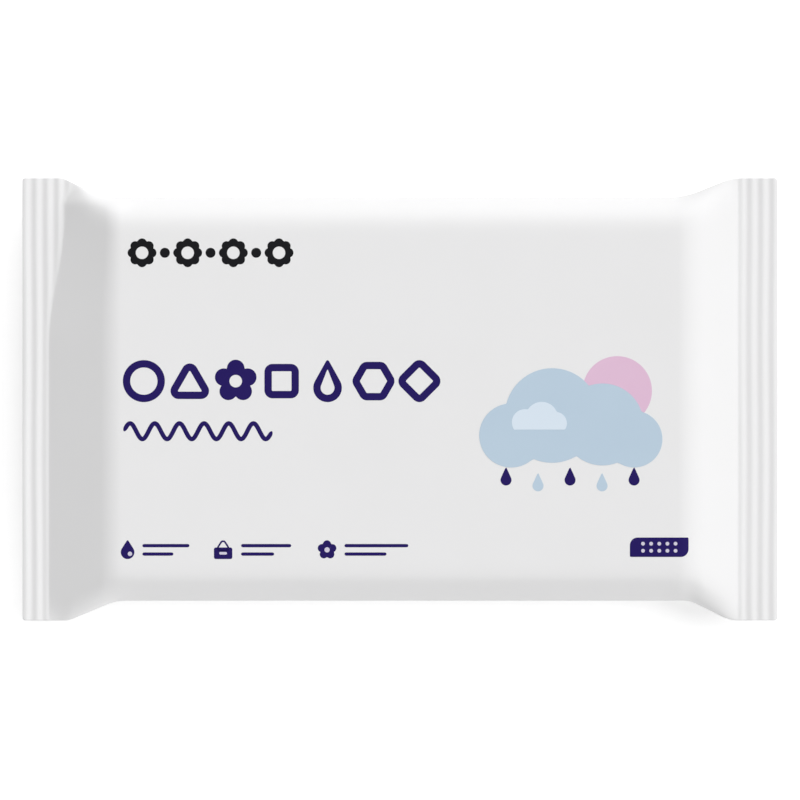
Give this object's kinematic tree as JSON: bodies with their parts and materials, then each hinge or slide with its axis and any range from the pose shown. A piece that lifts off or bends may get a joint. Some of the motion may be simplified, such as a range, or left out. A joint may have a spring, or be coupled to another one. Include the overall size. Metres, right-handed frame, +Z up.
{
  "type": "wet wipes pack",
  "caption": "Sealed white film flow pack of wet wipes with crimped end seals, a lengthwise back seam and a peel-back reseal label on the back.",
  "frame": {"origin": "centre of the pack's footprint on the surface it lies on, under its back panel", "axes": "+X along the pack's long side, towards the printed picture's end; +Y across it, towards the top of the printed front; +Z up, out of the printed front panel"},
  "size_m": [0.145, 0.085, 0.0129],
  "materials": {
    "white_film": "satin white laminated film",
    "label_film": "smooth pale blue label film",
    "navy_ink": "navy print under the film's satin surface",
    "black_ink": "black print under the film's satin surface",
    "blue_ink": "pale blue print under the film's satin surface",
    "pink_ink": "pale pink print under the film's satin surface"
  },
  "bodies": {
    "root": {"sealed_pack": "white_film", "reseal_label": "label_film"}
  },
  "joints": []
}
